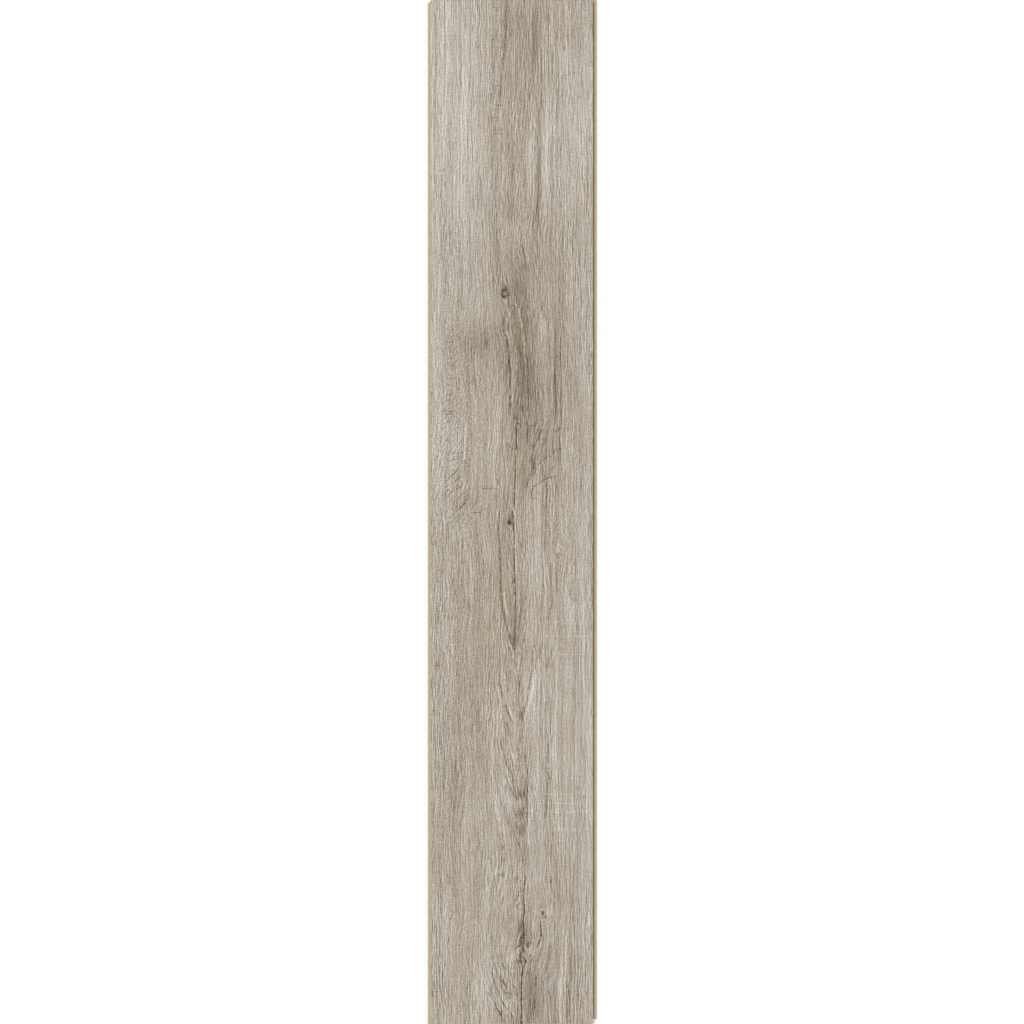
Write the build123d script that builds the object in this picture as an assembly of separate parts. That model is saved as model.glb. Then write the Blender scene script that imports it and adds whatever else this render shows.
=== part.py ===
"""Laminate floor plank with a milled click joint on all four edges.

The plank is one pressed fibreboard panel. The decor face is up, the underside lies on Z = 0.
+Y runs along the plank and +X across it. The origin is on the underside, below the middle
of the rectangle that shows once the floor is laid.

A long and a short edge carry a tongue (on -X and on -Y). The edges across from them carry the
groove with its longer lower lip (on +X and on +Y), so that planks lie in rows without end.
"""

from build123d import *
from math import radians, sin, sqrt, tan
import os

# Cover size, the rectangle of floor that one plank fills
cover_length = 1200.0
cover_width = 190.0
thickness = 8.0

# Tongue
upper_lip = 2.4  # from the decor face down to the top of the tongue
tip_height = 2.0  # height of the tongue at its tip
tongue_reach = 3.4  # from the joint line out to the tip
tip_bevel = 0.5  # at the two corners of the tip
belly_reach = 0.6  # where the sloping underside of the tongue becomes its flat belly

# Groove
groove_bevel = 0.4  # left by the cutter in the two corners at the groove's back
guide = 0.4  # lead-in under the upper lip, which guides the tongue in

# Lower lip of the groove
lower_lip = 1.75  # material left below the trough
lip_reach = 4.4  # from the joint line out to the lip's end
crest_rise = 1.05  # height of the locking crest above the trough
crest_bevel = 0.35  # at the two corners of the crest
foot_bevel = 0.3  # where the lip's end meets the underside

# Locking faces, which keep two planks from being pulled apart
lock_setback = 1.2  # from the joint line back to the foot of the locking face
lock_angle = 50.0  # steepness of the locking faces
lock_bevel = 0.2  # at the corner between the belly and the locking face

# Clearances between two joined planks
fit = 0.05  # between the faces that slide and lock
tip_gap = 0.3  # ahead of the tongue's tip and of the lip's end
crest_gap = 0.2  # above the locking crest

# Heights above the underside
tongue_top = thickness - upper_lip
tip_bottom = tongue_top - tip_height
trough = lower_lip
belly = trough + fit
crest = trough + crest_rise
pocket_roof = crest + crest_gap

# The underside of the tongue slopes from its tip down to its belly
tongue_slope = (tip_bottom - belly) / (tongue_reach - belly_reach)


def tongue_edge():
    """Corners of a tongue edge from the face down: (out of the joint line, height, bevel)."""
    pocket_back = -(lip_reach + tip_gap)
    lock_top = -lock_setback - (pocket_roof - belly) / tan(radians(lock_angle))
    return [
        (0, thickness, 0),
        (0, tongue_top, 0),
        (tongue_reach, tongue_top, tip_bevel),
        (tongue_reach, tip_bottom, tip_bevel),
        (belly_reach, belly, 0),
        (-lock_setback, belly, lock_bevel),
        (lock_top, pocket_roof, 0),
        (pocket_back, pocket_roof, 0),
        (pocket_back, 0, 0),
    ]


def groove_edge():
    """Corners of a groove edge from the face down: (out of the joint line, height, bevel)."""
    groove_roof = tongue_top + fit
    groove_back = -(tongue_reach + tip_gap)
    # The groove's floor runs below the tongue's slope, one fit away from it
    floor_drop = fit * sqrt(1 + tongue_slope**2)
    floor_at_back = belly - floor_drop + tongue_slope * (tongue_reach + tip_gap - belly_reach)
    floor_at_trough = -belly_reach - (trough - belly + floor_drop) / tongue_slope
    # The crest's locking face stands one fit away from the other plank's
    lock_shift = lock_setback + fit / sin(radians(lock_angle))
    lock_foot = lock_shift - (belly - trough) / tan(radians(lock_angle))
    lock_top = lock_shift + (crest - belly) / tan(radians(lock_angle))
    return [
        (0, thickness, 0),
        (0, groove_roof + guide, 0),
        (-guide, groove_roof, 0),
        (groove_back, groove_roof, groove_bevel),
        (groove_back, floor_at_back, groove_bevel),
        (floor_at_trough, trough, 0),
        (lock_foot, trough, 0),
        (lock_top, crest, crest_bevel),
        (lip_reach, crest, crest_bevel),
        (lip_reach, 0, foot_bevel),
    ]


def bevelled(corners):
    """Corner points of a closed outline, with two points in place of each bevelled corner."""
    points = []
    for index, (across, height, bevel) in enumerate(corners):
        corner = Vector(across, height)
        if bevel == 0:
            points.append(corner)
            continue
        before = Vector(*corners[index - 1][:2])
        after = Vector(*corners[(index + 1) % len(corners)][:2])
        points.append(corner + (before - corner).normalized() * bevel)
        points.append(corner + (after - corner).normalized() * bevel)
    return points


def section(plane, cover):
    """Section across the plank: the tongue edge on the minus side, the groove edge on the plus side."""
    minus_side = [(-cover / 2 - out, height, bevel) for out, height, bevel in tongue_edge()]
    plus_side = [(cover / 2 + out, height, bevel) for out, height, bevel in groove_edge()]
    outline = bevelled(minus_side + plus_side[::-1])
    return plane * make_face(Polyline(*outline, close=True))


# Both milled profiles run the whole way through, so the plank is what they have in common
overrun = lip_reach + tongue_reach
across_plank = Plane(origin=(0, 0, 0), x_dir=(1, 0, 0), z_dir=(0, -1, 0))
along_plank = Plane(origin=(0, 0, 0), x_dir=(0, 1, 0), z_dir=(1, 0, 0))
long_edges = extrude(section(across_plank, cover_width), cover_length / 2 + overrun, both=True)
short_edges = extrude(section(along_plank, cover_length), cover_width / 2 + overrun, both=True)
milled = long_edges & short_edges

# At two corners a pocket cuts right through the other edge's lip, and the sliver past it falls away
laminate_plank = milled.solids().sort_by(SortBy.VOLUME)[-1]

os.makedirs("parts", exist_ok=True)
export_step(laminate_plank, "parts/laminate_plank.step")
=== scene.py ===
# %% [markdown]
# A laminate floor plank is one pressed board. Printed paper gives it the look of oak, a hard
# clear sheet protects the print, and a milled click joint runs round all four edges. This
# lesson gives the CAD board its looks. First it loads the imported board and keeps it, as the
# base that the finished piece is built on.

# %% Load the imported board and keep its box
from math import radians

import bmesh
import bpy
import numpy as np
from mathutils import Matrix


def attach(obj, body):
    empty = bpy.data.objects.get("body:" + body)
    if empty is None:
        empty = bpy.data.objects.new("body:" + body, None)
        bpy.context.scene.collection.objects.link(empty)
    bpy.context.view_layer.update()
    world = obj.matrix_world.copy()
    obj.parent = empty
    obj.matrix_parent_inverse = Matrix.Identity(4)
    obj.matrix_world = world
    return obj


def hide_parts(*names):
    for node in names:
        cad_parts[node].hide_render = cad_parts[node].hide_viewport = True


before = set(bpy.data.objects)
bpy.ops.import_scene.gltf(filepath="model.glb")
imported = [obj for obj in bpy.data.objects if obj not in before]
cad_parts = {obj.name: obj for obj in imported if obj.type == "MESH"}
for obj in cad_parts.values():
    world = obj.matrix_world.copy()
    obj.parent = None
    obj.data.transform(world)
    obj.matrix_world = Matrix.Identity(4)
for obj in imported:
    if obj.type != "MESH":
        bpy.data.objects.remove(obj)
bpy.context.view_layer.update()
cad_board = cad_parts["laminate_plank"]


# %% [markdown]
# The decor face is the rectangle that stays in sight once the floor is laid: 190 by 1200 mm.
# Its oak print follows the grain of a real board, with a heart in the middle, knots, cracks
# and pointed arches. A plain noise texture can't put those where they belong. The face
# therefore gets a fine grid of points, and each point learns where it lies in the grain. The
# material then only has to draw fibres along that grain. All lengths here are in mm.

# %% Lay a grid over the decor face
face_width = 190.0
face_length = 1200.0
column_width = 1.0
plain_row = 3.6
fine_row = 1.8
# Stretches of the plank, from one y to another, with knots and cracks that need fine rows
detailed = [(-600, -420), (-170, 115), (195, 275)]


def row_places():
    """The y of each row of points, closer together where the print has small marks."""
    y = -face_length / 2
    rows = [y]
    while y < face_length / 2 - plain_row:
        fine = any(low <= y < high for low, high in detailed)
        y += fine_row if fine else plain_row
        rows.append(y)
    rows[-1] = face_length / 2
    return np.array(rows)


columns = np.linspace(-face_width / 2, face_width / 2, round(face_width / column_width) + 1)
rows = row_places()
x, y = np.meshgrid(columns, rows)
print("decor grid:", len(columns), "columns,", len(rows), "rows")

# %% [markdown]
# A board sawn near the middle of a trunk shows its heart as a line that wanders along it. Far
# from the heart the fibres run straight. Close to it the growth rings close in pointed
# arches, because the heart dips out of the cut. The grid stores two places for each point:
# one in the straight fibres and one in the arches, and a share that blends the two.

# %% Trace the heart and the arches beside it


def follow(points, along):
    """Where a line through the points (y, x) lies at each y, as a smooth curve."""
    ys, xs = np.array(sorted(points), float).T
    slopes = np.gradient(xs, ys)
    piece = np.clip(np.searchsorted(ys, along) - 1, 0, len(ys) - 2)
    run = ys[piece + 1] - ys[piece]
    t = np.clip((along - ys[piece]) / run, 0, 1)
    start = (1 + 2 * t) * (1 - t) ** 2 * xs[piece] + t * (1 - t) ** 2 * run * slopes[piece]
    end = t**2 * (3 - 2 * t) * xs[piece + 1] - t**2 * (1 - t) * run * slopes[piece + 1]
    return start + end


heart_line = [
    (600, 8), (448, 3), (330, 0), (248, 3), (155, 9), (100, 5), (-9, 2), (-103, 5), (-162, 3),
    (-248, 5), (-337, 7), (-384, 12), (-429, 15), (-509, 13), (-600, 11),
]
# How far the pointed arches have climbed at each y, and how wide their points are
arch_climb = [
    (600, 150), (262, 138), (108, 176), (38, 176), (-90, 166), (-160, 140), (-373, 62), (-600, 0),
]
arch_width = [(600, 10), (250, 12), (120, 18), (0, 14), (-160, 20), (-600, 22)]
# The arches are pointed above one y. Below it they are round, counted down from another y, and
# this many times as long as they are wide
pointed_from = -470
round_from = -505
roundness = 2.2
# The fibres left and right of the heart differ past about this many mm from it
side_width = 18.0
# How strongly the arches show at each y, and how far they reach to the left and right
arch_strength = [
    (600, 0), (320, 0.1), (240, 0.8), (120, 0.5), (60, 0.1), (-60, 0.3), (-150, 0.9), (-390, 0.9),
    (-430, 0.2), (-455, 0), (-490, 0), (-515, 0.9), (-600, 1),
]
left_reach = [(600, 12), (250, 14), (120, 20), (0, 16), (-160, 26), (-380, 28), (-480, 30), (-600, 42)]
right_reach = [(600, 9), (250, 10), (120, 16), (0, 12), (-160, 18), (-380, 20), (-450, 3), (-600, 3)]

# Fibres part round a knot as water does round a post: place, reach, how far it is drawn out
knots = [
    (-8, 255, 5.0, 2.4), (-2, -12, 4.0, 2.4), (13, -513, 8.0, 1.9), (36, -470, 4.5, 1.6),
    (8, -462, 4.5, 1.8), (56, -45, 5.0, 1.6), (-3, -567, 3.5, 1.6), (6, 296, 3.0, 1.4),
]


def part_round_knots(offset):
    """The sideways place of the grain once it has parted round every knot."""
    parted = offset.copy()
    for knot_x, knot_y, reach, drawn_out in knots:
        away = x - knot_x
        spread = away**2 + ((y - knot_y) / drawn_out) ** 2 + 0.5 * reach**2
        parted -= away * reach**2 / spread
    return parted


# Parts where the grain leans: x, y, half width, half length, mm to the right for each mm up
leans = [
    (-75, 295, 16, 22, -0.10), (-34, 295, 12, 22, 0.14), (13, 285, 12, 36, -0.14),
    (37, 290, 12, 24, -0.10), (-70, 180, 24, 50, -0.15), (-10, 202, 10, 24, -0.18),
    (37, 90, 12, 36, 0.18), (55, 108, 12, 24, 0.12), (-57, 50, 20, 44, 0.22), (-32, 8, 14, 30, 0.24),
    (60, -32, 12, 24, -0.14), (60, -130, 12, 44, -0.14), (-57, -125, 14, 28, 0.14),
    (-57, -350, 16, 50, 0.16), (-57, -490, 12, 30, 0.22), (13, -490, 10, 24, 0.14),
    (60, -490, 12, 30, 0.2), (42, -530, 16, 44, 0.22), (37, -445, 12, 22, -0.2),
]


def lean_over(offset):
    """The sideways place of the grain once it leans over in some parts."""
    leaning = offset.copy()
    for lean_x, lean_y, half_width, half_length, slope in leans:
        climbed = y - lean_y
        apart = ((x - lean_x) / half_width) ** 2 + (climbed / half_length) ** 2
        leaning -= slope * climbed * np.exp(-apart)
    return leaning


def wander(size, length, width, seed):
    """A slow drift, so that no fibre runs dead straight."""
    turns = np.random.default_rng(seed).uniform(0, 2 * np.pi, 3)
    waves = [np.sin(2 * np.pi * (y / length * k + x / width) + turns[k - 1]) / k for k in (1, 2, 3)]
    return size * sum(waves)


heart = follow(heart_line, y)
sideways = part_round_knots(x - heart)
# Far from the heart the fibres don't follow its bends
mean_heart, bend_reach = 6.0, 32.0
bends = (heart - mean_heart) * np.exp(-(((x - mean_heart) / bend_reach) ** 2))
reach = np.where(sideways < 0, follow(left_reach, y), follow(right_reach, y))
arch_share = np.clip(follow(arch_strength, y), 0, 1) * np.exp(-((sideways / reach) ** 4))
out_by = abs(sideways)
pointed = out_by * (1 + (out_by / follow(arch_width, y)) ** 2 / 3) - follow(arch_climb, y)
rounded = np.hypot(out_by, np.clip(round_from - y, 0, None) / roundness)
arch_across = np.where(y > pointed_from, pointed, rounded) + wander(size=0.9, length=60, width=50, seed=9)
slow_drift = wander(size=0.8, length=300, width=500, seed=3)
quick_drift = wander(size=0.3, length=80, width=120, seed=5)
across = lean_over(part_round_knots(x - mean_heart - bends)) + slow_drift + quick_drift
side = np.tanh(sideways / side_width)
print("share of the face with arches:", round(float(arch_share.mean()), 2))

# %% [markdown]
# The print has marks that belong to this board alone: cracks down the heart, dark veins,
# pale hairlines and slanting scratches. Each is a stroke through a few points, with a half
# width and a strength in levels of grey out of 255; a pale stroke has a negative strength.
# Thin strokes have to stay crisp, so the grid only stores how far a point is from them and
# the material draws the line itself. Broad ones are soft, and the grid holds them directly.

# %% List the strokes of the print
# A stroke: levels, half width, then its points as (x, y)
cracks = [
    (88, 0.6, (5.5, 101), (5.5, 90), (5.7, 80), (5.8, 72)),
    (66, 0.6, (5, 69), (4.5, 62), (4.2, 52), (4, 42), (3.5, 30), (3, 18), (3, 8), (3.5, 2)),
    (60, 1.0, (0.8, 2), (1, -3), (1.8, -9)),
    (62, 0.55, (2, -12), (2.2, -18), (2.7, -28), (3, -40), (3.2, -56), (2.8, -68)),
    (46, 0.85, (2.8, -62), (3.5, -75), (3.8, -85), (4.2, -95), (4.6, -102), (4.6, -110)),
    (30, 0.8, (15.8, -424), (15.9, -433)),
    (80, 0.65, (15.8, -430), (15, -438), (14.3, -445), (13.8, -449), (14, -455), (14.7, -460),
     (14.7, -466), (14.5, -471), (13.8, -476), (13.8, -483), (14, -490), (14, -496), (15, -502)),
    (74, 0.75, (11.5, -530), (12.5, -533), (12.3, -540), (11.8, -545), (11.4, -552), (11.2, -560),
     (11.4, -570), (11.6, -580), (12, -583), (11.5, -590), (11.5, -602)),
]
knot_lines = [
    (96, 0.8, (4.6, -514), (6, -510.5), (8.5, -508.5), (12, -508)),
    (96, 0.8, (12, -508), (13.5, -512), (15, -516)), (70, 0.7, (4, -524.5), (8.5, -525.5), (12, -529)),
    (66, 0.6, (2, -528), (7, -528), (12.5, -531)), (84, 0.8, (13.8, -521), (15.5, -525), (17.5, -529)),
    (60, 0.6, (9, -519), (10.5, -523), (12, -527)),
    (68, 0.9, (33, -480), (34, -490), (34, -498), (32.5, -504), (29, -511.5)),
    (26, 0.8, (33.7, -493), (33.9, -502)), (34, 0.7, (34.5, -460.5), (36, -463), (38, -466)),
    (26, 0.9, (38, -473), (40.5, -475.5)), (60, 0.8, (-3.7, 247), (-3.4, 239)),
    (-44, 0.7, (-13, 259), (-13.7, 253), (-11, 248.5)), (44, 0.8, (-7.5, 237), (-8.3, 230)),
    (44, 0.7, (2, 243), (3.6, 239)), (-20, 0.8, (6, -513), (8, -516), (7, -521)),
    (-34, 0.7, (11.5, -495.2), (9, -495.4), (8.2, -498), (9, -501)),
    (-24, 0.8, (18, -513), (21, -512), (24, -508)), (-20, 0.7, (8.5, -472), (11, -470), (12.3, -465)),
    (18, 0.7, (-4, -467), (-3.6, -475), (-1, -481)), (24, 0.7, (24, -522), (23, -527), (20, -531)),
    (20, 0.7, (20, -538), (18, -543)), (-22, 0.8, (0, -541), (3, -537), (6, -535)),
]

# %% [markdown]
# Veins are the dark lines between two years of growth. On this board they run nearly straight,
# bend round the knots and meet in points over the heart. Each was traced from the photograph.

# %% Trace the veins
veins = [
    (20, 1.1, (-5, 602), (-7, 585), (-7, 570), (-7, 555), (-8, 545), (-9.5, 536), (-12, 522)),
    (22, 1.0, (-12, 512), (-12, 500), (-12.5, 486)), (34, 0.9, (-24, 492), (-23.5, 486), (-26, 479)),
    (24, 0.7, (-24, 474), (-24, 455)), (20, 0.7, (-28, 470), (-27, 458)),
    (24, 0.9, (-27, 516), (-26, 504)), (26, 1.0, (-22, 526), (-22, 520)),
    (24, 0.6, (-16, 575), (-13.5, 572), (-9, 577)), (26, 0.6, (-24, 597), (-18, 596), (-15, 600)),
    (28, 0.9, (-46, 570), (-47, 560)), (20, 0.9, (-68, 560), (-68, 545)),
    (20, 1.0, (-39, 548), (-39, 540)), (24, 0.7, (-84, 478), (-83, 464)),
    (18, 0.8, (-30, 585), (-30, 532)), (16, 0.7, (-37, 590), (-37, 572)),
    (30, 0.7, (34.5, 547), (35, 520), (35, 495), (35, 470)),
    (20, 0.7, (39, 565), (38.5, 540), (38.5, 490)), (28, 0.7, (48.5, 550), (48, 530), (48, 503)),
    (20, 0.7, (33, 462), (33, 438)), (18, 0.6, (43, 560), (43, 500)), (20, 1.0, (62, 552), (62.5, 540)),
    (20, 0.8, (26, 515), (24, 500)), (18, 0.8, (57, 432), (57, 398)), (18, 0.6, (83, 426), (83, 404)),
    (18, 0.7, (-36, 392), (-36, 350)), (20, 0.9, (-45, 372), (-46, 340)),
    (22, 0.9, (56, 380), (57, 355), (56, 335)), (20, 0.8, (57, 302), (56, 272)),
    (24, 0.9, (26, 335), (26, 318)), (30, 0.8, (-79, 405), (-79, 397)),
    (26, 0.8, (-78, 391), (-78, 381)), (26, 0.9, (-84, 373), (-83.5, 369)),
    (24, 1.0, (-84, 350), (-83, 338)), (24, 0.8, (-90, 350), (-90, 342)),
    (28, 1.0, (-50, 323), (-50, 316)), (16, 0.9, (-13, 436), (-13, 400)),
    (18, 0.9, (-11, 372), (-11, 345)), (34, 0.8, (10.5, 316), (13, 308), (15, 300), (17, 295)),
    (28, 0.8, (20, 292), (19.5, 283)), (24, 0.7, (14, 290), (13, 282)), (22, 0.7, (8, 298), (5, 296)),
    (20, 0.8, (-74, 218), (-75, 211)), (22, 0.8, (-72, 211), (-65, 217)),
    (24, 0.8, (-60, 213), (-57, 210)), (24, 0.8, (-64, 206), (-58, 203)),
    (24, 0.8, (-62, 160), (-62, 151)), (34, 0.9, (-44, 173), (-43.5, 160), (-42.5, 148), (-42.5, 132)),
    (24, 0.9, (-49, 199), (-48, 190), (-46.8, 176)), (28, 0.7, (-4.5, 224), (-3, 218), (-1, 211)),
    (24, 0.6, (-76, 204), (-69, 206), (-62, 208)), (22, 0.8, (-44, 195), (-45, 175)),
    (30, 0.9, (-30, 204), (-29, 191)), (22, 0.7, (-32, 215), (-32, 207)),
    (22, 0.7, (-31, 235), (-31, 225), (-29, 215), (-27, 204)), (18, 0.7, (-26, 222), (-24, 208)),
    (20, 0.7, (-20, 225), (-18, 205)), (22, 0.7, (-7, 225), (-3, 210)),
    (44, 1.3, (-9, 231), (-9.7, 217), (-6.8, 205), (-5.2, 196), (-3.5, 183), (-2.8, 175), (-2.1, 165),
     (-1.9, 154), (-1.7, 142), (-2.1, 125), (-2.8, 112)),
    (32, 0.9, (16.5, 264), (17, 252), (18, 246)), (32, 0.8, (18.5, 244), (20, 237)),
    (32, 0.8, (15.5, 219), (16.3, 210), (17, 198)), (30, 0.8, (12.5, 242), (12.5, 235)),
    (30, 0.8, (15, 196), (17, 179), (19.3, 165), (19.5, 142), (20, 125), (20.5, 108)),
    (20, 0.8, (26, 180), (26, 150)), (20, 0.8, (28.5, 152), (27, 128)), (26, 0.8, (19, 230), (19, 220)),
    (22, 0.7, (43, 226), (43, 205), (45, 188), (45, 170)),
    (16, 0.8, (49, 212), (49, 185), (50, 165), (50, 148)), (16, 0.7, (55, 162), (54, 147), (56, 128)),
    (36, 0.7, (57, 206), (57.5, 195), (57, 185), (56, 168)), (36, 0.7, (58, 142), (57, 125), (58, 106)),
    (32, 0.8, (56.5, 264), (56, 255), (57, 242)), (20, 0.8, (71, 207), (73, 199)),
    (18, 0.7, (81, 262), (82, 248), (81, 234)), (20, 0.8, (25.5, 235), (26, 226)),
    (34, 0.6, (-7, 81), (-3, 78), (1, 75), (5, 72)), (36, 0.8, (-16, 41), (-15.5, 31)),
    (44, 0.8, (5.5, 106), (8, 104), (11, 101), (11.5, 98)), (26, 0.6, (5, 40), (7, 42), (8.5, 46)),
    (34, 1.1, (18.5, 108), (18.5, 92), (18.5, 77)), (44, 0.9, (35, 98), (33, 90), (31.5, 84)),
    (32, 0.8, (30, 83), (27, 79), (24, 76), (22, 71)), (44, 1.0, (28, 105), (26, 97)),
    (40, 0.9, (24.5, 102), (22.5, 98)), (30, 0.7, (27, 96), (27, 89)), (30, 0.8, (21, 62), (21, 57)),
    (30, 0.7, (33, 71), (30, 63), (28, 58)), (26, 1.2, (36, 98), (30, 84), (25, 70), (22, 58)),
    (24, 0.9, (32, 100), (27, 88), (23, 74)), (22, 0.8, (38, 88), (33, 77), (28, 66), (25, 56)),
    (34, 1.0, (57, 101), (55, 96), (50, 93.5)),
    (48, 0.6, (58, 75), (52, 72), (49, 69), (46, 65), (44, 61)),
    (44, 0.6, (43.5, 66), (38, 62), (34, 58), (30, 54)), (30, 0.6, (30, 52), (26, 44), (24, 39)),
    (46, 0.6, (53, 42), (48, 41), (44, 40), (40, 38.5), (36, 36.5), (32, 34), (28, 31), (25, 28),
     (23, 24), (23, 16)),
    (26, 0.55, (22.5, 14), (26, 16), (32, 15.5)),
    (28, 0.7, (41.5, 36), (41, 20), (40.5, 5), (40, -20), (39, -48)),
    (16, 0.6, (36, 26), (36, 0), (35, -32)), (20, 0.7, (50, -8), (49, -30), (49, -52)),
    (18, 0.7, (57, 92), (57, 58)), (22, 0.6, (54, -39), (57, -43), (60, -45)),
    (22, 0.6, (53, -46), (56, -49), (59, -50)), (28, 0.9, (-17, -4), (-13, -7)),
    (40, 1.0, (-16.5, -17), (-16, -24)),
    (30, 1.1, (-16, -8), (-15.5, -28), (-14.5, -35), (-14, -45), (-13.5, -58), (-13, -70),
     (-12.5, -78)),
    (36, 1.0, (-12.8, -76), (-12.6, -86)),
    (30, 1.3, (4.6, -106), (4.4, -122), (3.4, -140), (3, -152), (2.8, -163)),
    (20, 0.9, (13, -86), (12, -107), (9, -128), (6.5, -149), (3.8, -163)),
    (30, 0.9, (24.5, -160), (24, -182), (21, -205), (17, -226), (11.5, -245)),
    (28, 0.9, (-15, -186), (-13, -204), (-9.5, -219)), (22, 0.8, (7, -184), (8, -200), (9, -214)),
    (24, 1.0, (15.5, -280), (16, -302)),
    (26, 0.9, (18.6, -300), (18, -322), (18.4, -345), (18.6, -362)),
    (30, 1.1, (-12.5, -84), (-12, -95), (-11, -107), (-10, -115), (-8.5, -124), (-7, -132),
     (-5, -140), (-3, -146), (-1, -152), (1, -158), (2.5, -162)),
    (36, 0.9, (1, -80), (0.8, -84)),
    (20, 0.9, (18, -56), (19, -72), (18, -87), (17.5, -100), (16, -115), (15, -128)),
    (22, 0.8, (14, -140), (15, -147), (14, -156)), (20, 0.6, (88, -153), (88, -170), (89, -196)),
    (16, 0.7, (37, -58), (37, -80), (35, -110), (35, -132)),
    (14, 0.8, (26, -120), (26, -150), (24, -170)), (22, 0.7, (6, -174), (6, -184)),
    (38, 0.8, (9.5, -190), (9, -200), (9, -213)), (20, 0.7, (5, -190), (5, -202)),
    (16, 0.7, (14, -60), (13, -80), (10, -110)), (22, 0.7, (52, -70), (53, -95)),
    (18, 0.8, (-30, -150), (-32, -185)), (20, 0.8, (-15, -195), (-12, -215)),
    (16, 0.8, (-6, -195), (-3, -215)), (20, 0.9, (22, -185), (19, -210)),
    (40, 1.0, (-8, -223), (-5, -233), (-2, -241), (1.5, -249)), (26, 0.8, (9, -220), (9.5, -230)),
    (26, 0.8, (14, -226), (12, -236), (9, -244)),
    (22, 0.9, (-6, -246), (-3, -255), (0, -262), (2, -267)), (24, 0.8, (12, -252), (11, -265)),
    (16, 0.8, (-23, -240), (-23, -262)), (18, 0.8, (-18, -262), (-15, -280)),
    (26, 0.9, (-14, -266), (-12, -275), (-9, -285), (-7, -293), (-4, -300), (-1, -307)),
    (32, 0.8, (8, -274), (8.5, -283), (8, -294)), (20, 0.9, (16, -284), (16, -298)),
    (24, 1.0, (-10, -303), (-6, -312), (-3, -320), (1, -328), (5, -337)),
    (18, 0.9, (13, -305), (12, -318)), (20, 0.9, (1, -342), (4, -354), (8, -361)),
    (20, 0.9, (18, -349), (14, -357), (9, -361)),
    (42, 0.8, (42, -258), (43, -285), (42.5, -310), (41.5, -330), (41, -345), (40, -360)),
    (22, 0.7, (46, -224), (46, -240), (45, -262)), (20, 0.8, (29, -338), (29, -350)),
    (20, 0.8, (28, -355), (28, -367)), (20, 0.8, (57, -348), (57, -360)),
    (22, 0.8, (-4, -355), (0, -368), (5, -380), (8, -392)), (18, 0.8, (-12, -340), (-8, -352)),
    (34, 0.9, (8.5, -384), (9.5, -392)), (26, 1.0, (13, -399), (13, -413)),
    (26, 0.9, (20, -389), (19, -403)), (22, 0.8, (-27, -399), (-27, -409)),
    (20, 0.6, (72.5, -408), (73, -450), (72.5, -482)), (26, 0.7, (47, -389), (46, -401)),
    (24, 0.8, (45.5, -425), (46, -440), (46, -455), (47, -464)), (20, 0.7, (56, -443), (56, -455)),
    (20, 0.8, (11, -428), (10.5, -437), (9.8, -446)), (20, 0.8, (-83, -444), (-83, -456)),
    (18, 0.8, (-69, -468), (-74, -485), (-76, -500)), (22, 0.9, (-72, -494), (-75, -505), (-77, -517)),
    (18, 0.8, (19, -434), (19, -452)), (20, 0.7, (48, -475), (47, -484)),
    (44, 0.7, (-21, -518), (-19.7, -530), (-17, -540), (-12.5, -547), (-9, -553), (-5, -557)),
    (32, 0.7, (-12, -516), (-11.3, -527), (-8.5, -534), (-5, -537)),
    (50, 0.7, (-13, -541), (-9, -550), (-5.5, -556)), (20, 0.6, (-4, -537), (-3.6, -553)),
    (36, 0.7, (-16, -545), (-12.5, -552), (-11, -558)),
    (40, 0.6, (-11, -553), (-9.5, -560), (-7, -564.5), (-3, -563), (1.5, -565.5)),
    (38, 0.6, (-1, -555), (3, -556), (6, -561), (7.5, -568)),
    (38, 0.7, (-23.5, -538), (-20, -552), (-16, -562), (-12, -571), (-8.5, -578), (-4, -584)),
    (56, 0.7, (-13, -570), (-10, -575), (-7, -580.5), (-3.5, -585)),
    (30, 0.7, (-28, -543), (-24, -558), (-22, -572)),
    (46, 0.8, (-22, -571), (-18, -580), (-14.5, -586), (-12.5, -590), (-12.5, -597)),
    (46, 0.7, (-9.5, -594), (-7, -604)), (36, 0.7, (-2, -585), (1, -592), (1.5, -604)),
    (30, 0.7, (-30, -560), (-27, -580), (-25, -604)), (18, 0.7, (-18, -588), (-17, -604)),
    (40, 0.8, (29, -542), (28.3, -551), (27, -558)),
    (42, 0.8, (27.3, -569), (26.8, -578), (27.3, -586)), (16, 0.8, (31, -522), (30, -541)),
    (14, 0.8, (24, -545), (22, -570), (22, -600)), (16, 0.7, (32, -560), (31, -590)),
    (28, 0.6, (64.5, -540), (64.5, -575), (65, -604)), (24, 0.6, (68, -558), (68, -592)),
    (18, 0.6, (78, -515), (77, -572)), (18, 0.6, (62, -493), (61, -540)),
    (16, 0.6, (90, -515), (90, -604)), (28, 0.7, (-37, -544), (-37, -563)),
    (16, 0.6, (73, -520), (73, -600)), (16, 0.6, (83, -540), (83, -604)),
    (14, 0.6, (55, -520), (54, -604)), (14, 0.6, (50, -455), (49.5, -500)),
    (16, 0.7, (47, -470), (47, -492)), (20, 0.7, (-38, -590), (-37, -604)),
]

# %% [markdown]
# Pale hairlines are fibres beside a vein that catch the light. The scratches are fine dark
# marks that slant across the grain, as a rough saw leaves them on a real board.

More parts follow.
